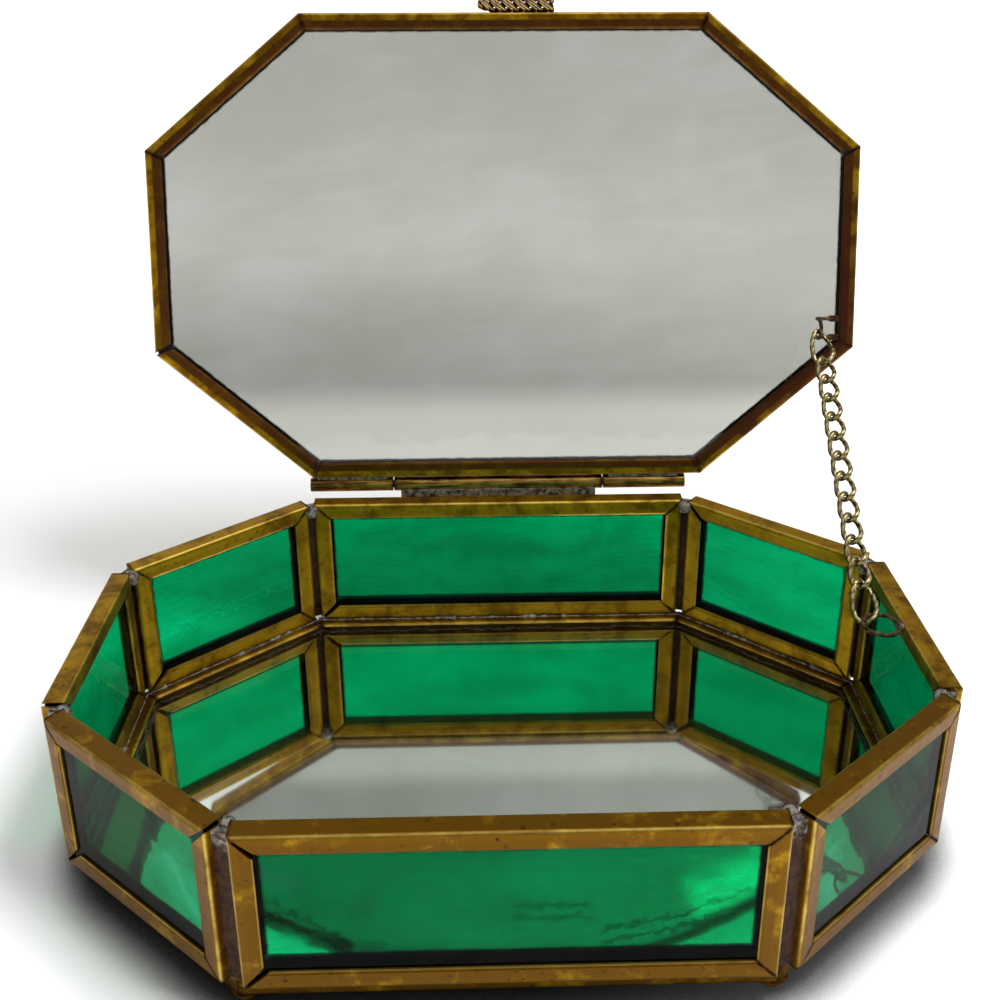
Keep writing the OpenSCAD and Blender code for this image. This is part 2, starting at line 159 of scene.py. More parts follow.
class Finish:
    """A material, with its place on the object in millimetres and its patterns."""

    def __init__(self, name):
        self.material = bpy.data.materials.new(name)
        self.material.use_nodes = True
        self.tree = self.material.node_tree
        self.tree.nodes.clear()
        self.place = self.node("ShaderNodeTexCoord", {}, [], "Object") * 1000.0

    def node(self, kind, settings, inputs, output=0):
        """Any node: its settings first, then its sockets."""
        made = self.tree.nodes.new(kind)
        for key, value in settings.items():
            setattr(made, key, value)
        pairs = inputs.items() if isinstance(inputs, dict) else enumerate(inputs)
        for key, value in pairs:
            if isinstance(value, Term):
                self.tree.links.new(value.socket, made.inputs[key])
            else:
                made.inputs[key].default_value = value
        return Term(self, made.outputs[output]) if len(made.outputs) else made

    def noise(self, scale, detail=2.0, place=None, rough=0.5, twist=0.0):
        """Cloudy noise from 0 to 1, scale patches to the millimetre."""
        inputs = {
            "Vector": place or self.place, "Scale": scale, "Detail": detail,
            "Roughness": rough, "Distortion": twist,
        }
        return self.node("ShaderNodeTexNoise", {}, inputs, "Fac")

    def specks(self, scale):
        """Distance to the nearest of many scattered points, in cell sizes."""
        return self.node("ShaderNodeTexVoronoi", {}, {"Vector": self.place, "Scale": scale}, "Distance")

    def blend(self, share, first, second):
        """From the first colour to the second as share goes from 0 to 1."""
        inputs = {0: share, 6: colour4(first), 7: colour4(second)}
        return self.node("ShaderNodeMix", {"data_type": "RGBA"}, inputs, 2)

    def bump(self, height, depth):
        """Relief of depth millimetres where height goes from 0 to 1."""
        inputs = {"Height": height, "Distance": depth * MM, "Strength": 1.0}
        return self.node("ShaderNodeBump", {}, inputs)

    def surface(self, **sockets):
        """The shader itself. A socket's name has _ for each space."""
        inputs = {key.replace("_", " "): value for key, value in sockets.items()}
        return self.node("ShaderNodeBsdfPrincipled", {}, inputs)

    def done(self, shader):
        self.node("ShaderNodeOutputMaterial", {}, [shader])
        return self.material


def colour4(colour):
    """Three numbers made a colour; anything else is left as it is."""
    return (*colour, 1) if isinstance(colour, tuple) and len(colour) == 3 else colour


def grid_faces(rows, columns, wrap_rows=True, wrap_columns=True):
    """Quads of a grid of points, row by row, closed on itself where wrapped."""
    row_steps = np.arange(rows - (not wrap_rows))
    column_steps = np.arange(columns - (not wrap_columns))
    i, j = np.meshgrid(row_steps, column_steps, indexing="ij")
    a, b = i * columns, (i + 1) % rows * columns
    k = (j + 1) % columns
    return np.stack([a + j, a + k, b + k, b + j], -1)


TABLE_REACH = 4000
TABLE_ROWS = 9
PAPER = (0.86, 0.86, 0.86)
PAPER_SHADE = (0.02, 0.02, 0.02)
# Strength of the white that the eye sees past the lamps' reach, which fades in
# from the first distance to the second
TABLE_LIGHT = 0.75
LIT_CLOSE, LIT_FAR = 120, 330
# The lid's shadow falls to the back left, so the glow stays clear of it there
GLOW_MIDDLE = (-60, 60, 0)
# Paper this near to the box is darkened, a painted contact shadow
UNDER_REACH = 10


def table_finish():
    """White paper. Away from the lamps' reach the eye sees it as white as under them."""
    f = Finish("white_table")
    away = f.place.distance(GLOW_MIDDLE)
    light_path = ("ShaderNodeLightPath", {}, [])
    seen = f.node(*light_path, "Is Camera Ray").most(f.node(*light_path, "Is Glossy Ray"))
    seen = seen.most(f.node(*light_path, "Is Transmission Ray"))
    strength = seen * away.between(LIT_CLOSE, LIT_FAR) * TABLE_LIGHT
    glow = f.node("ShaderNodeEmission", {}, {"Color": (1, 1, 1, 1), "Strength": strength})
    near = {"Distance": UNDER_REACH * MM}
    # The paper's colour goes dark where the box closes in on it: a painted contact shadow
    open_sky = f.node("ShaderNodeAmbientOcclusion", {"samples": 8}, near, "AO")
    white = f.blend(open_sky.between(0.5, 0.92), PAPER_SHADE, PAPER)
    paper = f.surface(Base_Color=white, Roughness=0.8)
    return f.done(f.node("ShaderNodeAddShader", {}, [paper, glow]))


reach = np.linspace(-TABLE_REACH, TABLE_REACH, TABLE_ROWS)
table_x, table_y = np.meshgrid(reach, reach, indexing="ij")
table_points = np.stack([table_x, table_y, np.full_like(table_x, TABLE_TOP / MM)], -1)
table_faces = grid_faces(TABLE_ROWS, TABLE_ROWS, False, False).reshape(-1, 4)[:, ::-1]
table_mesh = bpy.data.meshes.new("table")
table_mesh.from_pydata(table_points.reshape(-1, 3) * MM, [], table_faces.tolist())
table_mesh.materials.append(table_finish())
table = bpy.data.objects.new("table", table_mesh)
scene.collection.objects.link(table)

# The tent is dim near the table and brighter overhead, with a glow round the high
# lamp and a weaker one low at the back left
TENT_LOW, TENT_RISE, TENT_GLOW = 0.12, 0.36, 1.4
BACK_GLOW, BACK_GLOW_WAY = 0.32, Vector((-0.35, 0.83, 0.43)).normalized()
HIGH_LAMP_AT = (270, -90, 690)
HIGH_LAMP_WAY = Vector(HIGH_LAMP_AT).normalized()
world = bpy.data.worlds.new("tent")
scene.world = world
world.use_nodes = True
tent = Finish.__new__(Finish)
tent.tree = world.node_tree
tent.tree.nodes.clear()
tent_way = tent.node("ShaderNodeTexCoord", {}, [], "Generated")
tent_path = tent.node("ShaderNodeLightPath", {}, [], "Is Camera Ray").most(
    tent.node("ShaderNodeLightPath", {}, [], "Is Transmission Ray")
)
tent_light = tent_way.part("Z").between(-0.1, 0.9) * TENT_RISE + TENT_LOW
tent_light = tent_light + tent_way.dot(tuple(HIGH_LAMP_WAY)).between(0.84, 0.97) * TENT_GLOW
tent_light = tent_light + tent_way.dot(tuple(BACK_GLOW_WAY)).between(0.80, 0.98) * BACK_GLOW
tent_glow = tent.node(
    "ShaderNodeBackground", {},
    {"Color": (1, 1, 1, 1), "Strength": tent_path * (1 - tent_light) + tent_light},
)
tent.node("ShaderNodeOutputWorld", {}, [tent_glow])


def lamp(name, at, aim, size, watts):
    """A square soft lamp at one point, in millimetres, facing another.

    Polished faces show the tent's glow in its place, which is softer.
    """
    data = bpy.data.lights.new(name, "AREA")
    data.shape = "SQUARE"
    data.size = size * MM
    data.energy = watts
    made = bpy.data.objects.new(name, data)
    scene.collection.objects.link(made)
    made.visible_glossy = False
    made.location = Vector(at) * MM
    made.rotation_euler = (Vector(aim) - Vector(at)).to_track_quat("-Z", "Y").to_euler()


LAMPS_AIM = (0, 0, 20)
lamp("high_lamp", HIGH_LAMP_AT, LAMPS_AIM, 200, 4.2)
lamp("left_lamp", (-420, -520, 330), LAMPS_AIM, 300, 1.0)

# Folded brass channel
# Every pane sits in a strip of thin sheet brass folded to a channel and mitred at
# its corners. It has aged to brown, and is worn bright along its folds and lips;
# that brightness is partly wear and partly a painted highlight.
LIP = 3.4
PANEL = 3.8
AGED = (0.17, 0.076, 0.001)
GOLDEN = (0.44, 0.245, 0.006)
WORN_AND_HIGHLIGHT = (0.80, 0.58, 0.14)
GRIME = (0.018, 0.0035, 0.0015)
SCORCHED = (0.05, 0.012, 0.006)
FLUX_BROWN = (0.075, 0.022, 0.006)


def coat(node, material):
    """Gives a CAD node its finish."""
    mesh = nodes[node].data
    mesh.materials.clear()
    mesh.materials.append(material)


def edge_distance(place, centre, along, up, half_along, half_up, slant=None):
    """Depth inside a flat outline, in millimetres: the least distance to its sides.

    The outline is a rectangle about its centre, cut at its corners by the sides
    that slant gives as a direction and a distance. It also gives how far the two
    nearest sides differ, which is 0 on the corners' bisectors.
    """
    out = place - tuple(centre)
    u, v = abs(out.dot(tuple(along))), abs(out.dot(tuple(up)))
    ends, sides = half_along - u, half_up - v
    if slant is None:
        return ends.least(sides), abs(ends - sides)
    (slant_u, slant_v), far = slant
    corner = far - (u * slant_u + v * slant_v)
    nearest = ends.least(sides).least(corner)
    return nearest, abs(corner - ends.least(sides))


def face_distance(place, centre, along, up):
    """Depth under the nearer of a channel's two faces, in millimetres."""
    through = tuple(Vector(along).cross(Vector(up)))
    return PANEL / 2 - abs((place - tuple(centre)).dot(through))


def channel_finish(name, outline, golden, wear_and_highlight=0.55, flux=0.2, burnt=None):
    """Aged brass: brown and golden clouds, dark in the mitres, bright on folds.

    golden is how far the clouds go to gold, and the next argument how bright the
    folds and lips are, partly worn and partly a painted highlight. flux is how
    much brown flux is left on the lips' inner halves, and burnt is a point and a
    reach, where the flame has left the brass dark red.
    """
    f = Finish(name)
    depth, mitre = edge_distance(f.place, *outline)
    fold = depth.most(face_distance(f.place, *outline[:3]))
    clouds = f.noise(0.16, 5.0, rough=0.62, twist=0.6)
    streaks = f.noise(0.9, 4.0, rough=0.6)
    scuffs = f.noise(2.6, 3.0, rough=0.7)
    shade = (clouds * 0.8 + streaks * 0.2).between(0.62 - 0.35 * golden, 0.78 - 0.25 * golden)
    metal = f.blend(shade, AGED, GOLDEN)
    spots = (0.30 - f.specks(0.55)).between(0.0, 0.16) * streaks.between(0.45, 0.65)
    metal = f.blend(spots * 0.8, metal, GRIME)
    folds = 1 - fold.between(0.1, 0.55)
    lips = depth.band(LIP - 0.16, LIP + 0.2, 0.1)
    # Folds and lips go towards the worn colour, which is partly wear and partly a painted highlight
    bright = (folds * 0.8).most(lips * 0.35) * clouds.between(0.38 - 0.2 * wear_and_highlight, 0.6)
    metal = f.blend(bright, metal, WORN_AND_HIGHLIGHT)
    inner_half = depth.between(LIP * 0.38, LIP * 0.52) * (0.45 + clouds.between(0.3, 0.55) * 0.55)
    metal = f.blend(inner_half * flux, metal, FLUX_BROWN)
    crevice = (1 - mitre.between(0.10, 0.75)) * streaks.between(0.25, 0.6)
    metal = f.blend(crevice * 0.9, metal, GRIME)
    if burnt:
        point, reach_out = burnt
        away = f.place.distance(point) + (clouds - 0.5) * reach_out
        scorch = 1 - away.between(reach_out * 0.3, reach_out)
        metal = f.blend(scorch * 0.85, metal, SCORCHED)
    rough = 0.34 + streaks * 0.16 - bright * 0.14 + crevice * 0.3
    relief = f.noise(0.22, 2.0) * 0.9 + scuffs * 0.1
    return f.done(f.surface(
        Base_Color=metal, Metallic=0.92, Roughness=rough, Normal=f.bump(relief, 0.22)
    ))


def box_middle(node):
    low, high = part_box(node)
    return (low + high) / (2 * MM)


# The walls from the front one on, counter-clockwise as seen from above
WALLS = [
    "front", "front_right", "right_end", "back_right",
    "back", "back_left", "left_end", "front_left",
]
frame_low, frame_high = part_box("front_frame")
WALL_HEIGHT = (frame_high.z - frame_low.z) / MM
WALL_BOTTOM = frame_low.z / MM
FRONT_LENGTH = (frame_high.x - frame_low.x) / MM
END_LENGTH = (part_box("right_end_frame")[1].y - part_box("right_end_frame")[0].y) / MM
inner_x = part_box("right_end_frame")[0].x / MM
inner_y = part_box("back_frame")[0].y / MM
# The slanting walls run from the front panes' ends to the end panes'
CORNER_GAP = 0.5
slant_x = inner_x - (FRONT_LENGTH / 2 + CORNER_GAP)
slant_y = inner_y - (END_LENGTH / 2 + CORNER_GAP)
SLANT_LENGTH = math.hypot(slant_x, slant_y) - 2 * CORNER_GAP
slant_turn = math.atan2(slant_y, slant_x)
WALL_TURNS = [
    0, slant_turn, math.pi / 2, math.pi - slant_turn,
    math.pi, math.pi + slant_turn, -math.pi / 2, -slant_turn,
]
WALL_LENGTHS = [FRONT_LENGTH, SLANT_LENGTH, END_LENGTH, SLANT_LENGTH] * 2


def wall_outline(index):
    """Centre, directions and half sizes of one wall's frame."""
    turn_by = WALL_TURNS[index]
    along = (math.cos(turn_by), math.sin(turn_by), 0)
    centre = box_middle(WALLS[index] + "_frame")
    return centre, along, (0, 0, 1), WALL_LENGTHS[index] / 2, WALL_HEIGHT / 2


# How golden each wall's brass is, and how bright its folds are, partly by wear and partly as a painted
# highlight
GOLD_SHARES = [0.35, 0.3, 0.75, 0.9, 0.75, 0.8, 0.7, 0.3]
FOLD_WEAR_AND_HIGHLIGHT = [1.2, 0.6, 0.5, 0.55, 0.7, 0.7, 0.55, 0.6]
for index, wall in enumerate(WALLS):
    looks = GOLD_SHARES[index], FOLD_WEAR_AND_HIGHLIGHT[index]
    coat(wall + "_frame", channel_finish(wall + "_brass", wall_outline(index), *looks))

# Green glass
# The eight panes are rolled glass, a vivid green with darker streaks in it and a
# slow ripple on its faces. Along the brass lips the glass is painted near black, a
# painted shade where the frame's inner lip shows through in shadow.
LIT_GREEN = (0.0, 0.36, 0.12)
DEEP_GREEN = (0.0, 0.25, 0.075)
# Near black along the glass's lips; on the green panes this is a painted shade
EDGE_GRIME_AND_SHADE = (0.004, 0.003, 0.002)
DARK_WISP = (0.0, 0.055, 0.016)
PALE_MARK_AND_REFLECTION = (0.05, 0.62, 0.34)
# Threads and patches on the panes: two ends along and up the pane, half width, and
# how pale, or how dark below 0. The pale patch at the front pane's top left is a
# painted reflection.
WISPS = {
    "front_glass": [
        ((-36, 18.5), (-24, 9.5), 0.5, -0.8), ((-26, 9), (-19, 8.5), 1.2, -0.5),
        ((1, 15.6), (11, 15.6), 0.9, -0.6), ((14, 10.5), (26, 13.5), 0.7, -0.8),
        # The pale patch at the end of the next line is a painted reflection
        ((25, 13.5), (35, 18), 0.35, -0.7), ((-37, 25), (-31, 21), 2.6, 0.4),
    ],
    "back_left_glass": [((-19, 14.5), (19, 14.2), 0.28, 0.5)],
    "front_right_glass": [((-14, 22), (-10, 8), 4.0, 0.45), ((2, 21), (6, 12), 3.4, 0.35)],
    "front_left_glass": [((8, 20), (17, 7), 4.0, 0.45), ((-16, 20), (-8, 14), 3.0, -0.4)],
}
# Height of the painted shade above each pane's lower lip, where the frame's inner lip shows through in
# shadow
LOW_PAINTED_SHADE = [0.5, 0.6, 0.2, 0.4, 0.6, 0.4, 0.2, 0.6]
# How much each pane's green is brightened or darkened: a painted light and shade, matched to how lit
# each pane looks
PANE_PAINTED_LIGHT = [1.75, 0.85, 0.38, 0.9, 1.1, 1.15, 0.95, 0.95]
# The old glass has lost its gloss, so it mirrors less than a new pane
GREEN_IOR = 1.12
GREEN_SHADOW = (0.02, 0.16, 0.07)


def lamp_lets_through(f, glass, tint):
    """Glass, but clear in its tint to lamps, so that they light what is behind."""
    clear = f.node("ShaderNodeBsdfTransparent", {}, {"Color": colour4(tint)})
    shadow = f.node("ShaderNodeLightPath", {}, [], "Is Shadow Ray")
    return f.node("ShaderNodeMixShader", {}, [shadow, glass, clear])


def green_finish(name, index):
    """Green body with long soft streaks, black-brown within a hair of the lips as a painted shade."""
    f = Finish(name)
    outline = wall_outline(index)
    depth = edge_distance(f.place, *outline)[0]
    along = f.place.dot(tuple(outline[1])) + 37.0 * index
    height = f.place.part("Z")
    flow = f.node("ShaderNodeCombineXYZ", {}, [along * 0.35, height * 1.0, 0.0])
    streaks = f.noise(0.10, 4.0, flow, 0.55, 1.4)
    wisps = f.noise(0.32, 4.0, flow, 0.6, 2.2)
    mingled = (streaks * 0.65 + wisps * 0.35).between(0.36, 0.62)
    # Each pane's green is brightened or darkened by its painted light and shade
    green = f.blend(mingled, DEEP_GREEN, LIT_GREEN) * PANE_PAINTED_LIGHT[index]
    ragged = f.noise(0.5, 3.0, rough=0.7)
    for start, end, half_width, strength in WISPS.get(name, []):
        span, lean = math.dist(start, end), math.atan2(end[1] - start[1], end[0] - start[0])
        out_x = (f.place - tuple(outline[0])).dot(tuple(outline[1])) - start[0]
        out_z = height - start[1]
        run = out_x * math.cos(lean) + out_z * math.sin(lean)
        off = out_z * math.cos(lean) - out_x * math.sin(lean) + (ragged - 0.5) * 5.0
        wisp = run.band(0.0, span, 1.5) * (1 - abs(off).between(half_width * 0.4, half_width))
        green = f.blend(wisp * abs(strength), green, DARK_WISP if strength < 0 else PALE_MARK_AND_REFLECTION)
    # Painted shade: near black within a hair of the lips and in a band above the lower lip, where the
    # frame's shaded inner lip shows through
    edge = f.noise(0.7, 3.0) * 0.7
    line = 1 - (depth - edge).between(LIP - 0.15, LIP + 0.35)
    foot = height - (WALL_BOTTOM + LIP) - edge * 0.5
    line = line.most(1 - foot.between(LOW_PAINTED_SHADE[index], LOW_PAINTED_SHADE[index] + 0.5))
    green = f.blend(line, green, EDGE_GRIME_AND_SHADE)
    ripple = f.noise(0.07, 2.0, rough=0.4, twist=0.5)
    glass = f.surface(
        Base_Color=green, Roughness=0.0, IOR=GREEN_IOR, Transmission_Weight=1.0,
        Normal=f.bump(ripple, 0.25),
    )
    return f.done(lamp_lets_through(f, glass, GREEN_SHADOW))


for index, wall in enumerate(WALLS):
    coat(wall + "_pane", green_finish(wall + "_glass", index))

# Mirror floor
# The floor is a plate of mirror glass, silvered underneath, in its own channel.
# The silver has a brown edge where damp has crept in.
GLASS_IOR = 1.5
PLATE_DULL, PLATE_CLEAR = (0.70, 0.76, 0.71), (0.78, 0.82, 0.78)
PLATE_SHADOW = (0.9, 0.95, 0.92)
SILVER = (0.93, 0.95, 0.94)
DAMP_STAIN = (0.10, 0.05, 0.02)
floor_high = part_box("base_mirror")[1]
ring_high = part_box("base_frame")[1]
half_x, half_y = ring_high.x / MM, ring_high.y / MM
shift_out = half_x - inner_x
corner_y = END_LENGTH / 2 + CORNER_GAP
inner_slant = (math.sin(slant_turn), math.cos(slant_turn))
slant_reach = inner_slant[0] * inner_x + inner_slant[1] * corner_y + shift_out
floor_outline = (
    box_middle("base_frame"), (1, 0, 0), (0, 1, 0), half_x, half_y, (inner_slant, slant_reach)
)
coat("base_frame", channel_finish("floor_brass", floor_outline, 0.45))


def plate_glass_finish():
    """Clear plate with a green cast, duller where dust has settled in clouds."""
    f = Finish("mirror_plate")
    dust = f.noise(0.08, 4.0, rough=0.7)
    glass = f.surface(
        Base_Color=f.blend(dust.between(0.35, 0.7), PLATE_DULL, PLATE_CLEAR),
        Roughness=0.0, IOR=GLASS_IOR, Transmission_Weight=1.0,
    )
    return f.done(lamp_lets_through(f, glass, PLATE_SHADOW))


def silver_finish():
    """Bright silver, brown and dull in a ragged band along its edge."""
    f = Finish("mirror_silver")
    depth = edge_distance(f.place, *floor_outline)[0]
    creep = depth - f.noise(0.25, 4.0, rough=0.65) * 4.0
    stain = 1 - creep.between(0.9, 2.6)
    silver = f.blend(stain, SILVER, DAMP_STAIN)
    return f.done(f.surface(Base_Color=silver, Metallic=1.0, Roughness=0.03 + stain * 0.4))


coat("base_mirror", plate_glass_finish())
# Height of the silvering's lower face, its thickness, and how far its edge is in
SILVER_UP = 0.04
SILVER_THICK = 0.12
SILVER_IN = 0.2


def octagon_points(half_width, half_depth, front_half, end_half):
    """Corners of an octagon, counter-clockwise from the front left one."""
    return np.array([
        (-front_half, -half_depth), (front_half, -half_depth),
        (half_width, -end_half), (half_width, end_half),
        (front_half, half_depth), (-front_half, half_depth),
        (-half_width, end_half), (-half_width, -end_half),
    ])


def silver_plate():
    """Two rings of an octagon, the upper one first, a little smaller than the glass."""
    side_half = (slant_reach - shift_out - inner_slant[1] * inner_y) / inner_slant[0]
    edge = octagon_points(floor_high.x / MM, floor_high.y / MM, side_half, corner_y)
    rings = np.zeros((2, 8, 3))
    rings[..., :2] = edge * (1 - SILVER_IN / half_x)
    rings[..., 2] = SILVER_UP + SILVER_THICK * np.array([[1], [0]])
    return rings


def piece(name, points, faces, material, body, smooth=True):
    """A finished mesh piece that rides on a body."""
    mesh = bpy.data.meshes.new(name)
    corners = np.asarray(points).reshape(-1, 3) * MM
    mesh.from_pydata(corners, [], np.asarray(faces).reshape(-1, 4).tolist())
    mesh.polygons.foreach_set("use_smooth", np.full(len(mesh.polygons), smooth))
    mesh.materials.append(material)
    mesh.update()
    made = bpy.data.objects.new(name, mesh)
    scene.collection.objects.link(made)
    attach(made, body)
    return made


# An octagon as three quads, for the two flat faces
OCTAGON_QUADS = np.array([(0, 1, 2, 3), (0, 3, 4, 7), (7, 4, 5, 6)])
silver_rings = silver_plate()
silver_faces = np.concatenate([
    grid_faces(2, 8, wrap_rows=False).reshape(-1, 4), OCTAGON_QUADS, OCTAGON_QUADS[:, ::-1] + 8,
])
piece("mirror_silvering", silver_rings, silver_faces, silver_finish(), "box", False)

# Solder
# Grey solder fills the corners between the walls, in lumps at the top and in runs
# down the seam, and holds the eyelets and the hinge. It was left as it set.
SOLDER_DARK = (0.055, 0.045, 0.035)
SOLDER_LIGHT = (0.36, 0.34, 0.30)
SOLDER_ROSE = (0.33, 0.22, 0.19)
FLUX_DARK = (0.022, 0.006, 0.003)
FLUX_LIGHT = (0.07, 0.026, 0.008)


def solder_finish(name, clean_above=None):
    """Lumpy grey solder, under brown flux up to the height that is given."""
    f = Finish(name)
    lumps = f.noise(0.9, 4.0, rough=0.6)
    grain = f.noise(4.0, 3.0, rough=0.7)
    metal = f.blend(lumps.between(0.38, 0.62), SOLDER_DARK, SOLDER_LIGHT)
    metal = f.blend(f.noise(0.35, 2.0).between(0.52, 0.66) * 0.7, metal, SOLDER_ROSE)
    rough = 0.34 + grain * 0.3
    if clean_above is not None:
        clean = (f.place.part("Z") + lumps * 4.0).between(clean_above, clean_above + 2.5)
        flux = f.blend(lumps.between(0.35, 0.65), FLUX_DARK, FLUX_LIGHT)
        metal = f.blend(clean, flux, metal)
    relief = f.bump(lumps * 0.7 + grain * 0.3, 0.35)
    return f.done(f.surface(Base_Color=metal, Metallic=0.75, Roughness=rough, Normal=relief))


solder = solder_finish("solder")
for name in ("hinge_solder_box", "hinge_solder_lid", "eyelet_solder_box"):
    coat(name, solder)
# The corners were cleaned only at the top of the walls, the lid's eyelet nowhere
CORNERS_CLEAN = WALL_BOTTOM + WALL_HEIGHT - 2.0
NOWHERE_CLEAN = 1000
coat("corner_solder", solder_finish("corner_solder", CORNERS_CLEAN))
coat("eyelet_solder_lid", solder_finish("lid_eyelet_solder", NOWHERE_CLEAN))
SEAM_STEP = 0.5
SEAM_THIN, SEAM_THICK = 0.16, 0.62
SEAM_SIDES = 8
# How often each sine comes back round the box, and where it starts
SEAM_SWELLS = ((7, 0.4), (19, 2.1), (43, 1.0), (97, 4.0), (181, 0.7))
SEAM_CLEAN = WALL_BOTTOM - 2.6


def seam_bead():
    """Bead of uneven solder along the foot of the walls, ring by ring.

    It follows the inner octagon at an even step. Its radius is the thin one plus
    the square of a sum of sines, so it swells in some places and thins in others.
    """
    corners = octagon_points(inner_x, inner_y, FRONT_LENGTH / 2 + CORNER_GAP, corner_y)
    ahead_of = np.roll(corners, -1, 0) - corners
    lengths = np.hypot(*ahead_of.T)
    starts = np.concatenate([[0], np.cumsum(lengths)])
    at = np.arange(0, starts[-1], SEAM_STEP)
    sides = np.searchsorted(starts, at, side="right") - 1
    path = corners[sides] + ahead_of[sides] * ((at - starts[sides]) / lengths[sides])[:, None]
    inward = np.stack([-ahead_of[:, 1], ahead_of[:, 0]], 1) / lengths[:, None]
    turns = 2 * math.pi * at / starts[-1]
    swell = sum(np.sin(turns * rate + phase) for rate, phase in SEAM_SWELLS)
    radius = SEAM_THIN + SEAM_THICK * np.clip(swell / 3.2, 0, 1) ** 2
    q = np.linspace(0, 2 * math.pi, SEAM_SIDES, endpoint=False)
    outward = np.cos(q)[None, :, None] * radius[:, None, None]
    points = np.zeros((len(at), SEAM_SIDES, 3))
    points[..., :2] = path[:, None] + inward[sides][:, None] * outward
    points[..., 2] = WALL_BOTTOM + np.sin(q) * radius[:, None]
    return points


seam = seam_bead()
seam_faces = grid_faces(len(seam), SEAM_SIDES)
seam_solder = solder_finish("seam_solder", SEAM_CLEAN)
piece("floor_seam_solder", seam, seam_faces, seam_solder, "box")

# Hinge
# Three lengths of brass tube turn on one pin. The tube is drawn, so its wear runs
# along it, and it has stayed brighter than the channel.
HINGE_AT = Vector(frame["joints"][0]["pos_m"]) / MM
TUBE_AGED = (0.08, 0.03, 0.008)
TUBE_BRIGHT = (0.50, 0.29, 0.07)
# Patches to the millimetre along the tube and across it
TUBE_GRAIN = (0.12, 1.6, 1.6)
KNUCKLE_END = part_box("hinge_knuckle_middle")[1].x / MM


def tube_finish():
    """Brass in long streaks, with grime at the two gaps between the knuckles."""
    f = Finish("hinge_brass")
    stretch = f.node("ShaderNodeVectorMath", {"operation": "MULTIPLY"}, [f.place, TUBE_GRAIN])
    long_grain = f.noise(1.0, 3.0, stretch)
    clouds = f.noise(0.14, 4.0, rough=0.65)
    shade = (long_grain * 0.5 + clouds * 0.5).between(0.40, 0.60)
    from_gap = abs(abs(f.place.part("X")) - KNUCKLE_END)
    grime = 1 - from_gap.between(0.15, 0.9)
    metal = f.blend(grime * 0.85, f.blend(shade, TUBE_AGED, TUBE_BRIGHT), GRIME)
    return f.done(f.surface(
        Base_Color=metal, Metallic=0.95, Roughness=0.18 + long_grain * 0.2,
        Normal=f.bump(long_grain, 0.08),
    ))


tube_brass = tube_finish()
for name in ("hinge_knuckle_left", "hinge_knuckle_middle", "hinge_knuckle_right", "hinge_pin"):
    coat(name, tube_brass)

# Feet
# Four small brass domes, soldered under the corners of the floor's channel. They
# have aged with the rest.
FOOT_AGED = (0.15, 0.07, 0.012)
FOOT_BRIGHT = (0.42, 0.26, 0.05)


def foot_finish():
    """Brass in clouds of brown and gold."""
    f = Finish("foot_brass")
    clouds = f.noise(0.5, 4.0, rough=0.6)
    metal = f.blend(clouds.between(0.4, 0.62), FOOT_AGED, FOOT_BRIGHT)
    return f.done(f.surface(
        Base_Color=metal, Metallic=0.95, Roughness=0.3 + clouds * 0.2, Normal=f.bump(clouds, 0.15)
    ))


foot_brass = foot_finish()
for name in nodes:
    if name.startswith("foot_"):
        coat(name, foot_brass)

# Lid
# A plate of clear glass in the same channel. The open lid's flat leans back from
# upright. The glass is dusty, with pale wipe marks across it.
LID_OPEN = math.radians(102.4)
lid_up = Vector((0, -math.cos(LID_OPEN), math.sin(LID_OPEN)))
lid_low, lid_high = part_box("lid_frame")
LID_HALF_X = (lid_high.x - lid_low.x) / (2 * MM)
LID_MIDDLE_X = (lid_high.x + lid_low.x) / (2 * MM)
LID_DEPTH = 97.0
# Half the length of the lid's front side, and of its end sides
LID_FRONT_HALF = 41.8
LID_END_HALF = 21.2
# How far the lid's middle is from the hinge's axis
LID_MIDDLE_OUT = 50.35
lid_middle = HINGE_AT + lid_up * LID_MIDDLE_OUT + Vector((LID_MIDDLE_X, 0, 0))
lid_slant = Vector((LID_DEPTH / 2 - LID_END_HALF, LID_HALF_X - LID_FRONT_HALF)).normalized()
lid_outline = (
    lid_middle, (1, 0, 0), tuple(lid_up), LID_HALF_X, LID_DEPTH / 2,
    (tuple(lid_slant), lid_slant[0] * LID_HALF_X + lid_slant[1] * LID_END_HALF),
)
# The flame that fixed the eyelet has turned the brass round it dark red
SCORCH_REACH = 46
scorched = (tuple(box_middle("lid_eyelet")), SCORCH_REACH)
coat("lid_frame", channel_finish("lid_brass", lid_outline, 0.6, 1.3, 0.95, scorched))
LID_DUSTY, LID_WIPED = (0.29, 0.292, 0.262), (0.345, 0.347, 0.322)
LID_PALE = (0.58, 0.59, 0.54)
LID_SHADOW = (0.40, 0.39, 0.34)
# The glass was wiped cleaner below this height, and the band's edge is this soft
LID_BAND_UP = float((HINGE_AT + lid_up * 14).dot(lid_up))
LID_BAND_SOFT = 9


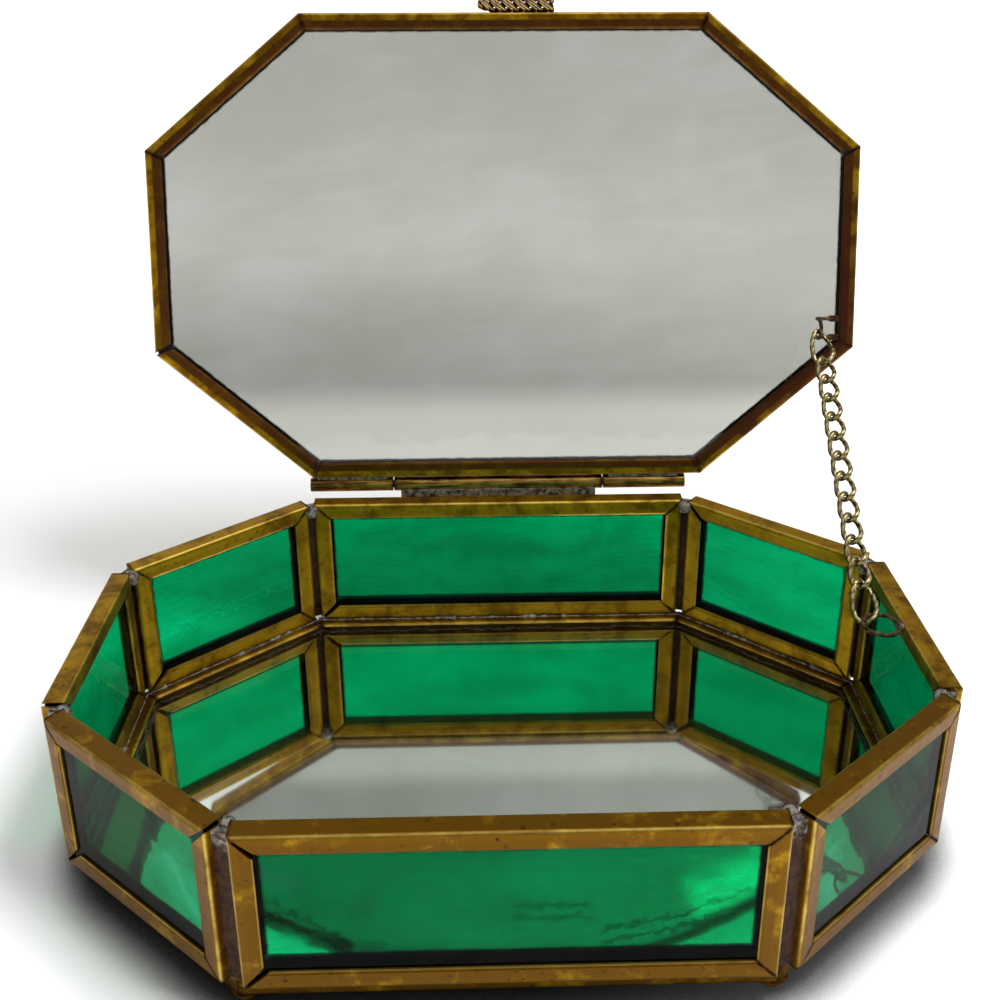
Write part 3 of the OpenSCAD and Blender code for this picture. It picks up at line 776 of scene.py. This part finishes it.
def lid_glass_finish():
    """Clear glass with a grey cast, faint wipe marks, and grime at the lips."""
    f = Finish("lid_plate")
    depth = edge_distance(f.place, *lid_outline)[0]
    x = f.place.part("X")
    up = f.place.dot(tuple(lid_up))
    swept = f.node("ShaderNodeCombineXYZ", {}, [x * 0.25 + up * 0.2, up - x * 0.15, 0.0])
    wipes = f.noise(0.12, 5.0, swept, 0.6, 0.8)
    haze = f.noise(0.03, 3.0, rough=0.6)
    tone = (wipes * 0.35 + haze * 0.65).between(0.35, 0.7)
    clear = f.blend(tone, LID_DUSTY, LID_WIPED)
    low = 1 - up.between(LID_BAND_UP, LID_BAND_UP + LID_BAND_SOFT)
    clear = f.blend(low * 0.75, clear, LID_PALE)
    line = 1 - (depth - f.noise(0.6, 3.0) * 0.5).between(LIP - 0.2, LIP + 0.2)
    clear = f.blend(line, clear, EDGE_GRIME_AND_SHADE)
    glass = f.surface(
        Base_Color=clear, Roughness=0.02 + wipes * 0.03, IOR=GLASS_IOR, Transmission_Weight=1.0,
        Specular_IOR_Level=0.3, Normal=f.bump(haze, 0.1),
    )
    return f.done(lamp_lets_through(f, glass, LID_SHADOW))


coat("lid_glass", lid_glass_finish())

# Chain and eyelets
# Curb links of twisted brass wire, each bent to an oval and turned a quarter, so
# that the chain lies flat. The two end links are longer. Both eyelets are plain
# wire, darkened by the flame.
WIRE_R = 0.5
# How far the middle of each of the wire's two strands is from the wire's middle
STRAND_OUT = 0.08
STRANDS = 2
LINK_TURN = math.radians(45)
LINK_FULLNESS = 0.3
LINK_COUNT = 13
# Rings of points along a link's wire, and points in a ring
AROUND, ROUND_WIRE = 96, 16
CHAIN_BRIGHT, CHAIN_DARK = (0.85, 0.70, 0.33), (0.075, 0.05, 0.014)
EYELET_SOOT, EYELET_WORN = (0.03, 0.016, 0.01), (0.20, 0.12, 0.06)


def wire_finish(name, bright, dark):
    """Brass wire, bright where it is worn and dark in its painted shade and rub marks."""
    f = Finish(name)
    # Each point's painted shade: dark in grooves, at the sides and on the pull's inner faces
    painted_shade = f.node("ShaderNodeAttribute", {"attribute_name": "painted_shade"}, [], "Fac")
    rub = f.noise(0.8, 4.0, rough=0.65)
    dull = painted_shade.between(0.25, 0.85).most(rub.between(0.5, 0.62) * 0.6)
    metal = f.blend(dull, bright, dark)
    return f.done(f.surface(Base_Color=metal, Metallic=1.0, Roughness=0.1 + dull * 0.2))


def strand_radius(angle, outer, offset, strands):
    """Radius of a bundle of round strands, at an angle round the bundle.

    Each strand's middle is offset from the bundle's, and its own radius brings
    it out to outer: r = offset cos a + sqrt(own^2 - offset^2 sin^2 a), with a
    the angle to the nearest strand.
    """
    own = outer - offset
    near = (angle + math.pi / strands) % (2 * math.pi / strands) - math.pi / strands
    return offset * np.cos(near) + np.sqrt(np.maximum(own**2 - (offset * np.sin(near)) ** 2, 0.0))


def swept_wire(path, first, second, radius):
    """Points of a tube: path + radius (first cos q + second sin q), ring by ring."""
    q = np.linspace(0, 2 * math.pi, radius.shape[1], endpoint=False)
    ring = first[:, None] * np.cos(q)[None, :, None] + second[:, None] * np.sin(q)[None, :, None]
    return path[:, None] + ring * radius[..., None]


def across_path(path, normal_hint, closed=True):
    """Two unit vectors square to a path, the first as near the hint as may be."""
    step = np.roll(path, -1, 0) - np.roll(path, 1, 0) if closed else np.gradient(path, axis=0)
    tangent = step / np.linalg.norm(step, axis=1, keepdims=True)
    first = normal_hint - tangent * (normal_hint * tangent).sum(1, keepdims=True)
    first /= np.linalg.norm(first, axis=1, keepdims=True)
    return first, np.cross(tangent, first)


def painted_shade_share(radius, first, second, flat_way):
    """How dull each point of a link is: 0 on a worn flat, up to 1 in a groove or at a side.

    It is the greater of the depth in the groove between the strands, and of 1 less
    the square of the outward direction's share along the way that the flats look.
    """
    in_groove = (radius.max() - radius) / (radius.max() - radius.min())
    q = np.linspace(0, 2 * math.pi, radius.shape[1], endpoint=False)
    outward = first[:, None] * np.cos(q)[None, :, None] + second[:, None] * np.sin(q)[None, :, None]
    # Painted shade in the grooves and at the sides; the flats stay bright, partly as wear and partly as
    # a painted highlight
    return np.maximum(in_groove * 0.8, 1 - (outward @ flat_way) ** 2)


def mark_painted_shade(made, values):
    """Gives each point of a wire its painted shade, for the wire's finish."""
    attribute = made.data.attributes.new("painted_shade", "FLOAT", "POINT")
    attribute.data.foreach_set("value", np.asarray(values, np.float32).ravel())


link_middles = np.array([box_middle("chain_link_%02d" % (k + 1)) for k in range(LINK_COUNT)])
chain_step = (link_middles[-2] - link_middles[1]) / (LINK_COUNT - 3)
PITCH = np.linalg.norm(chain_step)
chain_along = chain_step / PITCH
chain_across = np.array((1.0, 0, 0)) - chain_along * chain_along[0]
chain_across /= np.linalg.norm(chain_across)
chain_up = np.cross(chain_along, chain_across)
# Pitch of the two end links, as a share of the others'
END_PITCH = 1.5
# Gap between two neighbours' wires where they hook into each other
PLAY = 0.14
LINK_WIDTH = 4.3
END_WIDTH = 5.2


def link_wire_path(pitch, width):
    """Centre line of a link, at angle t round it, before it is put in place.

    Long axis a cos t, half width b sin t (1 + f cos^2 t), and the half width
    turned about the long axis by the link's turn times cos t.
    """
    t = np.linspace(0, 2 * math.pi, AROUND, endpoint=False)
    a = (pitch + 2 * WIRE_R + PLAY) / 2
    b = (width - 2 * WIRE_R) / 2
    side_way = b * np.sin(t) * (1 + LINK_FULLNESS * np.cos(t) ** 2)
    turned = LINK_TURN * np.cos(t)
    path = np.stack([a * np.cos(t), side_way * np.cos(turned), side_way * np.sin(turned)], 1)
    hint = np.stack([0 * t, -np.sin(turned), np.cos(turned)], 1)
    return path, hint


# The flats look along a link's third axis
FLAT_WAY = np.array((0.0, 0.0, 1.0))
chain_brass = wire_finish("chain_brass", CHAIN_BRIGHT, CHAIN_DARK)
axes = np.stack([chain_along, chain_across, chain_up])
# Turns of the strands round one link, and how many more the end links have
TWISTS, MORE_TWISTS = 4, 3
for k in range(LINK_COUNT):
    is_end = k in (0, LINK_COUNT - 1)
    pitch, width = (PITCH * END_PITCH, END_WIDTH) if is_end else (PITCH, LINK_WIDTH)
    path, hint = link_wire_path(pitch, width)
    first, second = across_path(path, hint)
    turns = (TWISTS + MORE_TWISTS * is_end) * np.linspace(0, 2 * math.pi, AROUND, endpoint=False)
    q = np.linspace(0, 2 * math.pi, ROUND_WIRE, endpoint=False)
    radius = strand_radius(q[None] - turns[:, None], WIRE_R, STRAND_OUT, STRANDS)
    tube = swept_wire(path, first, second, radius)
    name = "chain_link_%02d" % (k + 1)
    link = piece(
        name + "_wire", tube @ axes + link_middles[k], grid_faces(AROUND, ROUND_WIRE),
        chain_brass, "link_%02d" % (k + 1),
    )
    mark_painted_shade(link, painted_shade_share(radius, first, second, FLAT_WAY))
    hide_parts(name)


def eyelet_finish():
    """Brass wire under soot, which is rubbed off in places."""
    f = Finish("eyelet_wire")
    soot = f.noise(1.1, 4.0, rough=0.65)
    metal = f.blend(soot.between(0.4, 0.62), EYELET_SOOT, EYELET_WORN)
    return f.done(f.surface(
        Base_Color=metal, Metallic=0.9, Roughness=0.3 + soot * 0.25, Normal=f.bump(soot, 0.1)
    ))


eyelet_wire = eyelet_finish()
coat("box_eyelet", eyelet_wire)
coat("lid_eyelet", eyelet_wire)

# Pull
# Three pairs of wire twisted together along the lid's front edge, with the loose
# end at the left bent up.
PULL_OUTER = 1.6
PULL_STRAND = 0.42
# Length of one whole turn of a wire round the pull
PULL_LEAD = 7.4
# Half the angle between the two wires of a pair
PAIR_HALF = math.radians(20)
PULL_PAIRS = 3
# Rings of points along a wire, and points in a ring
PULL_ROWS, PULL_SIDES = 110, 12
# Rise of the left end, and the share of the pull's length that bends
PULL_BEND, BEND_SHARE = 1.1, 0.25
PULL_BRIGHT, PULL_DARK = (0.40, 0.27, 0.12), (0.035, 0.018, 0.01)
pull_low, pull_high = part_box("lid_pull")
pull_middle = box_middle("lid_pull")
PULL_LENGTH = (pull_high.x - pull_low.x) / MM
pull_wire = wire_finish("pull_wire", PULL_BRIGHT, PULL_DARK)


def pull_strand(phase):
    """Helix of one wire: it turns once in each lead, at a steady radius.

    The left end bends up with the square of the way past the bend's start.
    """
    x = np.linspace(-PULL_LENGTH / 2, PULL_LENGTH / 2, PULL_ROWS)
    turn_by = 2 * math.pi * x / PULL_LEAD + phase
    out = PULL_OUTER - PULL_STRAND
    past_bend = np.clip((-x / PULL_LENGTH - (0.5 - BEND_SHARE)) / BEND_SHARE, 0, 1)
    rise = PULL_BEND * past_bend**2
    path = np.stack([x, out * np.cos(turn_by), out * np.sin(turn_by) + rise], 1)
    hint = np.stack([0 * x, np.cos(turn_by), np.sin(turn_by)], 1)
    return path, hint


# Each wire's ends are drawn in to a point, by these shares of its radius
END_RADII, NEXT_RADII = 0.02, 0.85
wire_faces = grid_faces(PULL_ROWS, PULL_SIDES, wrap_rows=False).reshape(-1, 4)
around_wire = np.linspace(0, 2 * math.pi, PULL_SIDES, endpoint=False)
# The pull's wires carry a painted shade on the side that faces into the bar, and are bright on the
# outside
inner_shade = np.tile(0.5 - 0.5 * np.cos(around_wire), (PULL_ROWS, 1))
pull_points, pull_faces, pull_painted_shade = [], [], []
for wire in range(2 * PULL_PAIRS):
    phase = 2 * math.pi * (wire // 2) / PULL_PAIRS + (PAIR_HALF if wire % 2 else -PAIR_HALF)
    path, hint = pull_strand(phase)
    first, second = across_path(path, hint, closed=False)
    radius = np.full((PULL_ROWS, PULL_SIDES), PULL_STRAND)
    radius[[0, -1]] *= END_RADII
    radius[[1, -2]] *= NEXT_RADII
    pull_points.append(swept_wire(path, first, second, radius).reshape(-1, 3))
    pull_faces.append(wire_faces + wire * PULL_ROWS * PULL_SIDES)
    pull_painted_shade.append(inner_shade)
pull = piece(
    "pull_wires", np.concatenate(pull_points) + np.array(pull_middle),
    np.concatenate(pull_faces), pull_wire, "lid",
)
mark_painted_shade(pull, np.concatenate(pull_painted_shade))
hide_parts("lid_pull")
